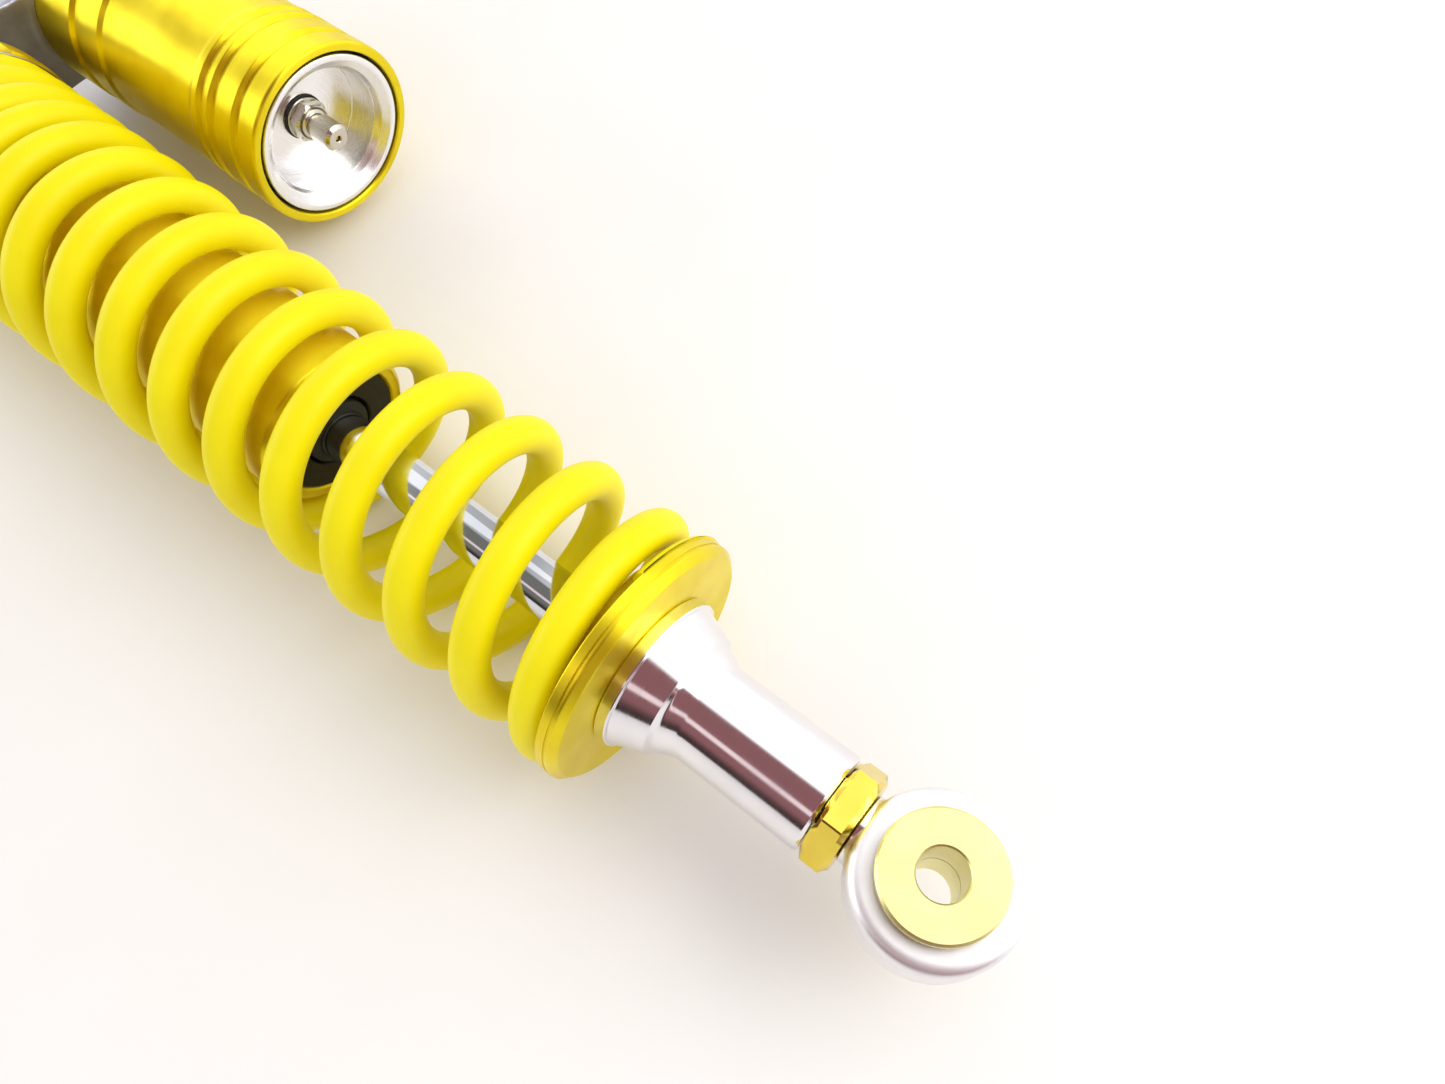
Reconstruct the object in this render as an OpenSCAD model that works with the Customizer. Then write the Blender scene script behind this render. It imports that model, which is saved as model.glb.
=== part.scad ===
// Rear shock absorber with a coil spring and a gas reservoir, lying along X.
// The origin is the centre of the upper eye's bore. +X runs to the lower eye, +Y to the
// reservoir, and both bolt holes run along Z. Lengths are in millimetres.

/* [Whole shock] */
// Distance between the two bolt holes, at full length
eye_to_eye = 360; // [352:1:380]
// Furthest that the lower end moves in
stroke = 60; // [30:1:64]
// Mounting bolt hole, both ends
bolt_d = 10; // [8:0.5:12]
// Width across the spacers, both ends
eye_width = 24; // [22:1:30]
// Outside of the two eye rings
eye_od = 34.4; // [33:0.2:38]
// Width of the upper eye ring
ring_width = 18; // [16:0.5:19.5]
// Width of the lower eye ring
lower_ring_width = 16; // [15.5:0.5:19.5]

/* [Damper] */
// Outside of the damper tube
body_od = 40; // [39:0.5:41]
// Bore of the damper tube
body_bore = 32; // [30:0.5:32.5]
// Open end of the damper tube, from the upper bolt hole
body_end = 194; // [190:1:200]
// Piston rod
rod_d = 12; // [10:0.5:12.5]

/* [Spring] */
// Outside of the coil spring
spring_od = 60; // [59:0.5:61]
// Spring wire
wire_d = 8.5; // [7:0.25:9.2]
// Number of turns, both ground ends included
turns = 15.2; // [15:0.1:15.3]
// Pitch of the open coils at the lower end
open_pitch = 18.85; // [18:0.05:19]
// Pitch of the tight coils at the upper end
tight_pitch = 10.3; // [10.1:0.1:10.8]
// How much of each wire end is ground below the flat
grind = 2.3; // [1:0.1:3]

/* [Lower end] */
// Spring side of the lower seat, up from the lower bolt hole
seat_up = 75.3; // [75:0.1:78]
// Thickness of the seat's rim
seat_t = 4.8; // [4:0.1:6]
// Extension tube
ext_od = 22.4; // [21:0.2:24]
// Collar of the extension
collar_od = 34; // [32:0.5:36]
// Jam nut, across its flats
nut_af = 21; // [19:0.5:22]
// Jam nut thickness
nut_t = 6.5; // [5:0.5:8]

/* [Gas reservoir] */
// Distance from the shock's axis to the reservoir's axis
res_y = 64; // [62:0.5:70]
// Largest outside of the canister
res_od = 51; // [50:0.5:52]
// Bore of the canister
res_bore = 42; // [41:0.5:42.5]
// Head end of the canister
res_x0 = 29.2; // [29:0.1:30]
// Open end of the canister
res_x1 = 122.7; // [122:0.1:140]

/* [Hidden] */
$fn = 96;

// Clearances: pieces that touch on one body, and pieces that run on each other
snug = 0.02;
run = 0.05;

// Radii worked out from the driving sizes
eye_r = eye_od / 2;
bush_r = eye_r - 6.2;
sleeve_r = bolt_d / 2 + 3;
flange_r = 12.4;
flange_t = 2.3;
body_r = body_od / 2;
bore_r = body_bore / 2;
rod_r = rod_d / 2;
rod_end_r = 4;
spring_r = spring_od / 2;
coil_in_r = spring_r - wire_d;
can_r = res_od / 2;
can_in_r = res_bore / 2;
cap_r = can_in_r + 1.8;

// Places along the shock's axis
socket_x = 24;
head_face = 38;
lower_x = eye_to_eye;
seat_x = lower_x - seat_up;
seat_front = seat_x + seat_t;
lip_x = seat_front + 0.4;
collar_x = lip_x + 2.7;
collar_end = collar_x + 7.4;
nut_x1 = lower_x - 17.6;
nut_x0 = nut_x1 - nut_t;
seal_x0 = 172;
seal_x1 = 191;
piston_x0 = 148;
piston_x1 = 161;
cap_back = res_x1 - 18.5;
cap_flange = res_x1 - 10.4;
dish_floor = res_x1 - 12.5;
float_x0 = 62;
float_x1 = 78;

// The spring's pitch against its turn, counted from the lower end
closed_pitch = wire_d + 0.9;
PITCH = [[0, closed_pitch], [0.75, closed_pitch], [1.3, open_pitch], [8.6, open_pitch],
    [12.3, tight_pitch], [14.1, tight_pitch], [14.3, closed_pitch], [20, closed_pitch]];
steps_per_turn = 24;
coil_steps = round(turns * steps_per_turn);
coil_rise = [for (i = 0, s = -grind; i <= coil_steps;
    s = s + lookup((i + 0.5) / steps_per_turn, PITCH) / steps_per_turn, i = i + 1) s];
spring_len = coil_rise[coil_steps] - grind;
spring_top = seat_x - spring_len;
tip_angle = 75;

// A round bar along X
module bar(x0, x1, r) {
    translate([x0, 0, 0]) rotate([0, 90, 0]) cylinder(h = x1 - x0, r = r);
}

// A round tube along X
module pipe(x0, x1, r_out, r_in) {
    difference() {
        bar(x0, x1, r_out);
        bar(x0 - 1, x1 + 1, r_in);
    }
}

// A turned shape about X, from [x, r] points
module turned(points) {
    rotate([0, 90, 0]) rotate_extrude() polygon([for (p = points) [p[1], p[0]]]);
}

// A rubber ring about X
module o_ring(x, r_mid, d) {
    rotate([0, 90, 0]) rotate_extrude() translate([r_mid, x]) circle(d = d, $fn = 24);
}

// A hexagon along X, across its flats
module hexagon(x0, x1, af) {
    translate([x0, 0, 0]) rotate([0, 90, 0]) cylinder(h = x1 - x0, d = af / cos(30), $fn = 6);
}

// A row of tools or holes set round X
module around(count, r, first = 0) {
    for (i = [0 : count - 1]) rotate([first + i * 360 / count, 0, 0]) translate([0, 0, r]) children();
}

// Move to the reservoir's axis
module at_reservoir() {
    translate([0, res_y, 0]) children();
}

// One top-hat spacer at the origin, its flange up; two of them meet half way
module spacer() {
    color([0.86, 0.68, 0.22]) difference() {
        union() {
            translate([0, 0, snug]) cylinder(h = eye_width / 2 - snug, r = sleeve_r);
            translate([0, 0, eye_width / 2 - flange_t]) cylinder(h = flange_t - 0.5, r = flange_r);
            translate([0, 0, eye_width / 2 - 0.5]) cylinder(h = 0.5, r1 = flange_r, r2 = flange_r - 0.5);
        }
        translate([0, 0, -1]) cylinder(h = eye_width, r = bolt_d / 2);
    }
}

// The rubber between an eye ring and its spacers
module rubber_bush(width) {
    bush_h = width - 1;
    color([0.08, 0.08, 0.08]) difference() {
        translate([0, 0, -bush_h / 2]) cylinder(h = bush_h, r = bush_r - snug);
        translate([0, 0, -bush_h]) cylinder(h = 2 * bush_h, r = sleeve_r + run);
    }
}

// The ring of an eye, with softened edges
module eye_ring(width) {
    edge = 2.8;
    half = width / 2;
    corner = [for (a = [0 : 18 : 90]) [eye_r - edge + edge * cos(a), half - edge + edge * sin(a)]];
    rotate_extrude() polygon(concat([[0, -half]], [for (i = [5 : -1 : 0]) [corner[i][0], -corner[i][1]]],
        corner, [[0, half]]));
}

// The cast head: upper eye, damper boss, reservoir boss and the bridge between them
module head_casting() {
    color([0.62, 0.62, 0.64]) difference() {
        union() {
            eye_ring(ring_width);
            turned([[6, 0], [6, 9.4], [15.5, 9.4], [17.5, 16], [19, 21], [22, 25.5], [25, 27],
                [head_face - 1, 27], [head_face, 26], [head_face, 0]]);
            at_reservoir() turned([[9, 0], [9, 19], [10, 22], [12, 24.5], [14.5, can_r], [res_x0 - 0.2, can_r],
                [res_x0 - 0.2, can_in_r - run], [res_x0 + 9, can_in_r - run], [res_x0 + 9, 0]]);
            hull() {
                translate([0, 17, 0]) bar(15.5, 28, 16, $fn = 32);
                translate([0, res_y - 12, 0]) bar(13, 28, 15, $fn = 32);
            }
        }
        translate([0, 0, -ring_width]) cylinder(h = 2 * ring_width, r = bush_r);
        bar(socket_x, head_face + 1, body_r + snug);
        bar(19, socket_x + 1, 4);
        at_reservoir() bar(18, res_x0 + 10, 4);
        translate([20, 0, 0]) rotate([-90, 0, 0]) cylinder(h = res_y + can_r + 1, r = 2.5);
        translate([20, res_y + 14, 0]) rotate([-90, 0, 0]) cylinder(h = can_r, r = 5);
        translate([20, res_y + can_r - 2, 0]) rotate([-90, 0, 0]) cylinder(h = 4, r = 8.5);
        at_reservoir() groove(res_x0 + 4.6, 2.4, can_in_r, 1.7);
    }
}

// A ring-shaped cut for a groove in an outside surface
module groove(x, width, r_out, depth) {
    pipe(x - width / 2, x + width / 2, r_out + 1, r_out - depth);
}

// Rubber ring between the head and the damper tube
module body_o_ring() {
    color([0.07, 0.07, 0.07]) o_ring(socket_x + 2.6, body_r - 0.85, 1.7);
}

// The damper tube: threaded for the preload rings, open at the lower end
module damper_body() {
    thread_x0 = socket_x + 10;
    thread_pitch = 1.5;
    thread_count = 30;
    color([0.85, 0.66, 0.20]) difference() {
        turned([[socket_x + 0.1, bore_r], [socket_x + 0.1, body_r - 1], [socket_x + 1.1, body_r],
            [body_end - 1.4, body_r], [body_end - 0.4, body_r - 0.4], [body_end, body_r - 1.4],
            [body_end, bore_r + 0.6], [body_end - 0.6, bore_r]]);
        groove(socket_x + 2.6, 2.2, body_r, 1.75);
        for (i = [0 : thread_count - 1]) groove(thread_x0 + i * thread_pitch, 0.7, body_r, 0.5);
        pipe(seal_x1 + 0.1, seal_x1 + 1.5, bore_r + 1, bore_r - 1);
    }
}

// Screw plug that closes the drilled oil passage
module passage_plug() {
    top_y = res_y + can_r - 2;
    color([0.75, 0.75, 0.77]) translate([20, 0, 0]) rotate([-90, 0, 0]) difference() {
        union() {
            translate([0, 0, top_y - 9]) cylinder(h = 11, r = 4.95);
            translate([0, 0, top_y + 1.05]) cylinder(h = 3.2, r = 7);
            translate([0, 0, top_y + 4.25]) cylinder(h = 0.7, r1 = 7, r2 = 6.3);
        }
        translate([0, 0, top_y + 0.6]) cylinder(h = 6, d = 6 / cos(30), $fn = 6);
    }
}

// Copper washer under the plug
module plug_washer() {
    color([0.72, 0.42, 0.26]) translate([20, res_y + can_r - 1.98, 0]) rotate([-90, 0, 0]) difference() {
        cylinder(h = 1, r = 8);
        translate([0, 0, -1]) cylinder(h = 3, r = 5.1);
    }
}

// A ring nut on the tube's thread, with slots for a hook spanner
module ring_nut(x0, x1, r, slots) {
    difference() {
        turned([[x0, body_r + run], [x0, r - 0.8], [x0 + 0.8, r], [x1 - 0.8, r], [x1, r - 0.8],
            [x1, body_r + run]]);
        around(slots, r) translate([(x0 + x1) / 2, 0, 0]) cube([x1 - x0 + 2, 5, 5], center = true);
    }
}

// Locks the preload ring
module lock_ring() {
    color([0.85, 0.66, 0.20]) ring_nut(head_face + 0.6, head_face + 6.4, spring_r - 2, 8);
}

// Sets the spring's preload
module preload_ring() {
    color([0.85, 0.66, 0.20]) ring_nut(head_face + 6.8, spring_top - 1.1, spring_r + 0.6, 8);
}

// Thin steel washer that lets the preload ring turn under the spring
module spring_washer() {
    color([0.7, 0.7, 0.72]) pipe(spring_top - 1.02, spring_top - snug, spring_r, body_r + 0.3);
}

// A round wire wound about X. rise lists how far each step has moved from x, towards -X
module wound_wire(x, rise, steps, start_angle, r_mid, wire_r, wire_sides) {
    last = len(rise) - 1;
    points = [for (i = [0 : last]) let (a = start_angle - 360 * i / steps)
        for (k = [0 : wire_sides - 1]) let (b = 360 * (k + 0.5) / wire_sides, r = r_mid + wire_r * cos(b))
            [x - rise[i] + wire_r * sin(b), r * cos(a), r * sin(a)]];
    sides = [for (i = [0 : last - 1]) for (k = [0 : wire_sides - 1])
        let (n = (k + 1) % wire_sides, p = i * wire_sides)
            [p + k, p + n, p + wire_sides + n, p + wire_sides + k]];
    tip = [for (k = [wire_sides - 1 : -1 : 0]) k];
    tail = [for (k = [0 : wire_sides - 1]) last * wire_sides + k];
    polyhedron(points, concat([tip, tail], sides), convexity = 20);
}

// The coil spring, closed and ground at both ends
module main_spring() {
    color([0.95, 0.88, 0.05]) intersection() {
        wound_wire(seat_x, coil_rise, steps_per_turn, tip_angle, spring_r - wire_d / 2, wire_d / 2, 10);
        bar(spring_top, seat_x - snug, spring_r + 5);
    }
}

// Black head that closes the damper tube and carries the rod's bush and seals
module seal_head() {
    color([0.06, 0.06, 0.07]) difference() {
        bar(seal_x0, seal_x1, bore_r - snug);
        bar(seal_x0 - 1, seal_x1 + 1, rod_r + 1.5);
        bar(seal_x1 - 6, seal_x1 + 1, rod_r + 4.5);
        groove(seal_x0 + 6, 2.4, bore_r, 1.6);
    }
}

// Plain bush that guides the rod
module rod_guide_bush() {
    color([0.62, 0.48, 0.28]) pipe(seal_x0 + 1, seal_x1 - 7, rod_r + 1.5 - snug, rod_r + run);
}

// Oil seal on the rod
module oil_seal() {
    color([0.12, 0.12, 0.12]) pipe(seal_x1 - 5.9, seal_x1 - 2.2, rod_r + 4.5 - snug, rod_r + run);
}

// Wiper lip that keeps dirt off the rod
module dust_wiper() {
    color([0.09, 0.09, 0.09]) turned([[seal_x1 - 2.1, rod_r + run], [seal_x1 - 2.1, rod_r + 4.4],
        [seal_x1 + 0.4, rod_r + 4.4], [seal_x1 + 0.4, rod_r + 2.6], [body_end + 0.6, rod_r + 2.2],
        [body_end + 1.4, rod_r + 0.6], [body_end + 1.4, rod_r + run]]);
}

// Rubber ring round the seal head
module seal_head_o_ring() {
    color([0.07, 0.07, 0.07]) o_ring(seal_x0 + 6, bore_r - 0.8, 1.55);
}

// Wire circlip that holds the seal head
module seal_head_circlip() {
    color([0.25, 0.25, 0.27]) difference() {
        pipe(seal_x1 + 0.2, seal_x1 + 1.4, bore_r + 0.95, bore_r - 1.5);
        translate([seal_x1 - 1, -2.5, -body_r]) cube([4, 5, body_r - 8]);
    }
}

// Black cover pressed into the tube's open end
module dust_cover() {
    color([0.05, 0.05, 0.05]) turned([[seal_x1 + 1.6, rod_r + 2.8], [seal_x1 + 1.6, bore_r - snug],
        [body_end - 0.2, bore_r - snug], [body_end + 0.2, bore_r - 0.5], [body_end + 0.2, rod_r + 3.4],
        [body_end - 0.6, rod_r + 2.8]]);
}

// Rubber stop that cushions full extension
module top_out_bumper() {
    color([0.15, 0.15, 0.15]) pipe(seal_x0 - 7.6, seal_x0 - snug, rod_r + 6, rod_r + 0.3);
}

// The reservoir canister: turned grooves outside, a straight bore inside
module reservoir_canister() {
    low = can_r - 1;
    color([0.87, 0.68, 0.18]) at_reservoir() difference() {
        turned([[res_x0, can_in_r], [res_x0, can_r - 0.8], [res_x0 + 0.8, can_r], [res_x0 + 16, can_r],
            [res_x0 + 17, low], [res_x0 + 19, low], [res_x0 + 20, can_r - 0.3], [res_x0 + 28, can_r - 0.3],
            [res_x0 + 29.5, low], [res_x1 - 27, low], [res_x1 - 25.6, can_r - 0.5],
            [res_x1 - 23.8, can_r - 0.5], [res_x1 - 23, low - 0.6], [res_x1 - 21.4, low - 0.6],
            [res_x1 - 20.6, can_r - 0.3], [res_x1 - 19, can_r - 0.3], [res_x1 - 18.2, low - 0.6],
            [res_x1 - 16.6, low - 0.6], [res_x1 - 15.6, can_r - 0.3], [res_x1 - 9.6, can_r - 0.3],
            [res_x1 - 8.8, low - 0.6], [res_x1 - 7.2, low - 0.6], [res_x1 - 6.4, can_r - 0.1],
            [res_x1 - 1.6, can_r - 0.1], [res_x1 - 0.4, can_r - 0.6], [res_x1, can_r - 1.5],
            [res_x1, cap_r + 0.4], [res_x1 - 0.4, cap_r], [cap_flange - 0.1, cap_r],
            [cap_flange - 0.1, can_in_r]]);
        pipe(res_x1 - 4.2, res_x1 - 2.5, cap_r + 0.8, cap_r - 1);
    }
}

// Rubber ring between the head and the canister
module reservoir_o_ring() {
    color([0.07, 0.07, 0.07]) at_reservoir() o_ring(res_x0 + 4.6, can_in_r - 0.85, 1.65);
}

// Polished cap with a dish round the gas valve
module reservoir_end_cap() {
    lip = res_x1 - 0.3;
    color([0.85, 0.86, 0.88]) at_reservoir() difference() {
        turned([[cap_back, 4.1], [cap_back, can_in_r - 0.9], [cap_back + 0.8, can_in_r - run],
            [cap_flange, can_in_r - run], [cap_flange, cap_r - 0.1], [res_x1 - 4.4, cap_r - 0.1],
            [res_x1 - 4.4, cap_r - 0.8], [lip - 0.8, cap_r - 0.8], [lip - 0.2, cap_r - 1],
            [lip, cap_r - 1.6], [lip - 0.3, cap_r - 2.6], [lip - 1.0, cap_r - 3.8],
            [lip - 2, cap_r - 4.8], [lip - 3.1, cap_r - 5.5], [lip - 3.4, cap_r - 5.8],
            [dish_floor + 0.4, 16.7], [dish_floor, 16.3], [dish_floor, 4.1]]);
        groove(cap_back + 4, 2.4, can_in_r, 1.7);
    }
}

// Rubber ring round the cap
module end_cap_o_ring() {
    color([0.07, 0.07, 0.07]) at_reservoir() o_ring(cap_back + 4, can_in_r - 0.85, 1.65);
}

// Black wire circlip that holds the cap in
module end_cap_circlip() {
    color([0.05, 0.05, 0.05]) at_reservoir() difference() {
        pipe(res_x1 - 4.1, res_x1 - 2.6, cap_r + 0.75, cap_r - 0.7);
        translate([res_x1 - 6, -1.5, -can_r]) cube([6, 3, 8]);
    }
}

// The valve's barrel, threaded through the cap's floor
module gas_valve_body() {
    mouth = res_x1 + 2;
    color([0.78, 0.76, 0.70]) at_reservoir() difference() {
        turned([[cap_back - 1, 0], [cap_back - 1, 3.4], [cap_back - 0.4, 4.05], [dish_floor + 4.8, 4.05],
            [dish_floor + 5.2, 3.2], [dish_floor + 7, 3.2], [dish_floor + 7.6, 3.85],
            [mouth - 1.2, 3.85], [mouth - 0.3, 3.4], [mouth, 2.6], [mouth, 0]]);
        bar(cap_back - 2, mouth + 1, 0.8);
        bar(cap_back + 1, cap_back + 9, 2.3);
    }
}

// Hexagon at the valve's base
module gas_valve_nut() {
    color([0.72, 0.70, 0.64]) at_reservoir() difference() {
        union() {
            bar(dish_floor + 0.72, dish_floor + 1.4, 5.75);
            intersection() {
                hexagon(dish_floor + 1.3, dish_floor + 4.6, 10);
                turned([[dish_floor + 1.3, 0], [dish_floor + 1.3, 5.9], [dish_floor + 3.8, 5.9],
                    [dish_floor + 4.6, 4.9], [dish_floor + 4.6, 0]]);
            }
        }
        bar(dish_floor, dish_floor + 6, 4.08);
    }
}

// Black sealing ring under the valve's hexagon
module valve_seal_ring() {
    color([0.04, 0.04, 0.04]) at_reservoir() pipe(dish_floor + snug, dish_floor + 0.7, 6.2, 4.1);
}

// Valve core pin: pressed in to let gas through
module valve_pin() {
    color([0.8, 0.72, 0.5]) at_reservoir() {
        bar(cap_back + 1.2, res_x1 + 1.2, 0.5);
        bar(cap_back + 6.8, cap_back + 7.8, 2.1);
    }
}

// Small spring that pushes the pin out
module valve_spring() {
    small_turns = 5;
    small_steps = 12;
    small_rise = [for (i = [0 : small_turns * small_steps]) i * 1.02 / small_steps];
    color([0.7, 0.7, 0.7]) at_reservoir()
        wound_wire(cap_back + 6.5, small_rise, small_steps, 0, 1.5, 0.25, 6);
}

// Piston that keeps the gas from the oil
module floating_piston() {
    color([0.8, 0.81, 0.83]) at_reservoir() difference() {
        bar(float_x0, float_x1, can_in_r - 0.08);
        bar(float_x0 + 7, float_x1 + 1, can_in_r - 5);
        groove(float_x0 + 4, 2.4, can_in_r, 1.7);
        groove(float_x0 + 11, 4.2, can_in_r, 1.3);
    }
}

// Its rubber ring
module floating_piston_o_ring() {
    color([0.07, 0.07, 0.07]) at_reservoir() o_ring(float_x0 + 4, can_in_r - 0.88, 1.6);
}

// Its slippery guide band
module floating_piston_band() {
    color([0.35, 0.30, 0.22]) at_reservoir()
        pipe(float_x0 + 9, float_x0 + 13, can_in_r - run, can_in_r - 1.25);
}

module upper_rubber_bush() {
    rubber_bush(ring_width);
}

module upper_spacer_front() {
    spacer();
}

module upper_spacer_rear() {
    mirror([0, 0, 1]) spacer();
}

// Chromed rod, stepped down for the piston
module piston_rod() {
    shoulder = piston_x1 + 2.3;
    color([0.86, 0.87, 0.9]) turned([[136.5, 0], [136.5, rod_end_r - 0.6], [137.1, rod_end_r],
        [shoulder, rod_end_r], [shoulder, rod_r], [lip_x + 8, rod_r], [lip_x + 9, rod_r - 1],
        [lip_x + 9, 0]]);
}

// Damper piston with six oil ports
module piston() {
    color([0.8, 0.8, 0.82]) difference() {
        bar(piston_x0, piston_x1, bore_r - 0.09);
        bar(piston_x0 - 1, piston_x1 + 1, rod_end_r + snug);
        groove((piston_x0 + piston_x1) / 2, 6.2, bore_r, 1.5);
        around(6, 8.8) bar(piston_x0 - 1, piston_x1 + 1, 1.7);
    }
}

// Slippery band round the piston
module piston_band() {
    mid = (piston_x0 + piston_x1) / 2;
    color([0.35, 0.30, 0.22]) pipe(mid - 3, mid + 3, bore_r - run, bore_r - 1.45);
}

// A stack of thin spring-steel discs that get smaller
module shims(x, direction, radii) {
    color([0.6, 0.62, 0.66]) for (i = [0 : len(radii) - 1])
        translate([x + direction * (i * 0.5 + 0.25), 0, 0]) pipe(-0.22, 0.22, radii[i], rod_end_r + snug);
}

module compression_shims() {
    shims(piston_x1, 1, [13, 11.5, 10, 8.5]);
}

module rebound_shims() {
    shims(piston_x0, -1, [12.5, 11, 9.5, 8]);
}

// Thick washer behind the rebound shims
module backing_washer() {
    color([0.5, 0.5, 0.52]) pipe(piston_x0 - 3.9, piston_x0 - 2.1, 7.5, rod_end_r + snug);
}

// Nut that clamps the piston to the rod
module piston_nut() {
    color([0.55, 0.55, 0.57]) difference() {
        hexagon(piston_x0 - 10, piston_x0 - 4, 13);
        bar(piston_x0 - 11, piston_x0 - 3, rod_end_r + snug);
    }
}

// Gold disc under the spring, with a pilot that centres the coil
module lower_spring_seat() {
    rim_r = spring_r - 0.6;
    color([0.84, 0.62, 0.16]) difference() {
        turned([[seat_x - 5.5, 11.6], [seat_x - 5.5, coil_in_r - 1.6], [seat_x - 4.5, coil_in_r - 0.5],
            [seat_x, coil_in_r - 0.5], [seat_x, rim_r - 0.4], [seat_x + 0.4, rim_r],
            [seat_front - 2, rim_r], [seat_front - 0.9, rim_r - 0.6], [seat_front, rim_r - 2],
            [seat_front, 11.6]]);
        groove(seat_front - 2.5, 0.5, rim_r, 0.3);
    }
}

// Polished tube that lengthens the rod and carries the seat on its lip
module rod_extension() {
    tube_r = ext_od / 2;
    collar_r = collar_od / 2;
    cone_r = collar_r - 2.7;
    color([0.84, 0.85, 0.87]) difference() {
        turned([[seat_x - 6, 0], [seat_x - 6, 11], [seat_x - 5.5, 11.5], [lip_x - 0.38, 11.5],
            [lip_x - 0.38, collar_r + 0.4], [lip_x, collar_r + 0.8], [collar_x - 0.6, collar_r + 0.8],
            [collar_x, collar_r], [collar_end, cone_r], [collar_end + 0.3, cone_r - 0.5],
            [collar_end + 1.2, tube_r + 2], [collar_end + 2.5, tube_r + 1.2], [collar_end + 3.8, tube_r + 0.55],
            [collar_end + 5.2, tube_r + 0.15], [collar_end + 6.4, tube_r], [nut_x0 - 1, tube_r],
            [nut_x0 - 0.3, tube_r - 0.7], [nut_x0 - 0.3, 0]]);
        bar(seat_x - 7, lip_x + 9.2, rod_r + snug);
        bar(nut_x0 - 26, nut_x0 + 1, 6.9);
    }
}

// Thin nut that locks the eye's stud
module jam_nut() {
    corner_r = nut_af / 2 / cos(30);
    color([0.86, 0.66, 0.18]) difference() {
        intersection() {
            rotate([30, 0, 0]) hexagon(nut_x0, nut_x1, nut_af);
            turned([[nut_x0, 0], [nut_x0, nut_af / 2 - 1.1], [nut_x0 + 1.6, corner_r + 0.1],
                [nut_x1 - 1.6, corner_r + 0.1], [nut_x1, nut_af / 2 - 1.1], [nut_x1, 0]]);
        }
        bar(nut_x0 - 1, nut_x1 + 1, 6.9);
    }
}

// Lower eye: a ring with a threaded stud
module lower_eye() {
    color([0.86, 0.87, 0.89]) difference() {
        union() {
            translate([lower_x, 0, 0]) eye_ring(lower_ring_width);
            turned([[nut_x0 - 22, 0], [nut_x0 - 22, 6.2], [nut_x0 - 21.4, 6.85], [nut_x1 + 0.1, 6.85],
                [nut_x1 + 0.1, 7.6], [lower_x - bush_r - 1, 7.6], [lower_x - bush_r - 1, 0]]);
        }
        translate([lower_x, 0, -ring_width]) cylinder(h = 2 * ring_width, r = bush_r);
    }
}

module lower_rubber_bush() {
    translate([lower_x, 0, 0]) rubber_bush(lower_ring_width);
}

module lower_spacer_front() {
    translate([lower_x, 0, 0]) spacer();
}

module lower_spacer_rear() {
    translate([lower_x, 0, 0]) mirror([0, 0, 1]) spacer();
}

head_casting();
body_o_ring();
damper_body();
passage_plug();
plug_washer();
lock_ring();
preload_ring();
spring_washer();
main_spring();
seal_head();
rod_guide_bush();
oil_seal();
dust_wiper();
seal_head_o_ring();
seal_head_circlip();
dust_cover();
top_out_bumper();
reservoir_canister();
reservoir_o_ring();
reservoir_end_cap();
end_cap_o_ring();
end_cap_circlip();
gas_valve_body();
gas_valve_nut();
valve_seal_ring();
valve_pin();
valve_spring();
floating_piston();
floating_piston_o_ring();
floating_piston_band();
upper_rubber_bush();
upper_spacer_front();
upper_spacer_rear();
piston_rod();
piston();
piston_band();
compression_shims();
rebound_shims();
backing_washer();
piston_nut();
lower_spring_seat();
rod_extension();
jam_nut();
lower_eye();
lower_rubber_bush();
lower_spacer_front();
lower_spacer_rear();
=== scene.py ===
"""Rear shock absorber: the visible finish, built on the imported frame.

The shock lies along X with its upper eye at the origin. Lengths are metres in the scene, and
millimetres where a name ends in _mm or a comment says so.
"""

import math

import bmesh
import bpy
from mathutils import Matrix, Vector


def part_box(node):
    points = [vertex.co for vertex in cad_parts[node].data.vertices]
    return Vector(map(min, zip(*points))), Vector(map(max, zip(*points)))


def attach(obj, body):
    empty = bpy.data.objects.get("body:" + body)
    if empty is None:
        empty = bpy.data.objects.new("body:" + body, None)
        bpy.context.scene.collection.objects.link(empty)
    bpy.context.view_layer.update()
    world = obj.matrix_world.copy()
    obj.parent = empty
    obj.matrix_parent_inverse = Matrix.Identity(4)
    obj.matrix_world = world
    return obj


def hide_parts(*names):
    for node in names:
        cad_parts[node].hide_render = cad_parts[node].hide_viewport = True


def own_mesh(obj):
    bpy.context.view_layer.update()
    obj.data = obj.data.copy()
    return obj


MM = 0.001
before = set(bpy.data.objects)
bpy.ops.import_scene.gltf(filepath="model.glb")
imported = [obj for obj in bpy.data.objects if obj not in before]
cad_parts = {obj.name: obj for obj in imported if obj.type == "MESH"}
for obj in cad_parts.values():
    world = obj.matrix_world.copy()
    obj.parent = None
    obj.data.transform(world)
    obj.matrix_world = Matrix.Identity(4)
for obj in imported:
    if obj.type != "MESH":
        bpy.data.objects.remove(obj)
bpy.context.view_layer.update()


# ---------------------------------------------------------------- places, all read from the frame


def low(node, axis=0):
    """Lowest coordinate of a CAD node along an axis, in millimetres."""
    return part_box(node)[0][axis] / MM


def high(node, axis=0):
    """Highest coordinate of a CAD node along an axis, in millimetres."""
    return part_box(node)[1][axis] / MM


def middle(node, axis):
    return (low(node, axis) + high(node, axis)) / 2


def radius(node, axis=2):
    """Outside radius of a CAD node, from its width along an axis, in millimetres."""
    return (high(node, axis) - low(node, axis)) / 2


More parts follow.
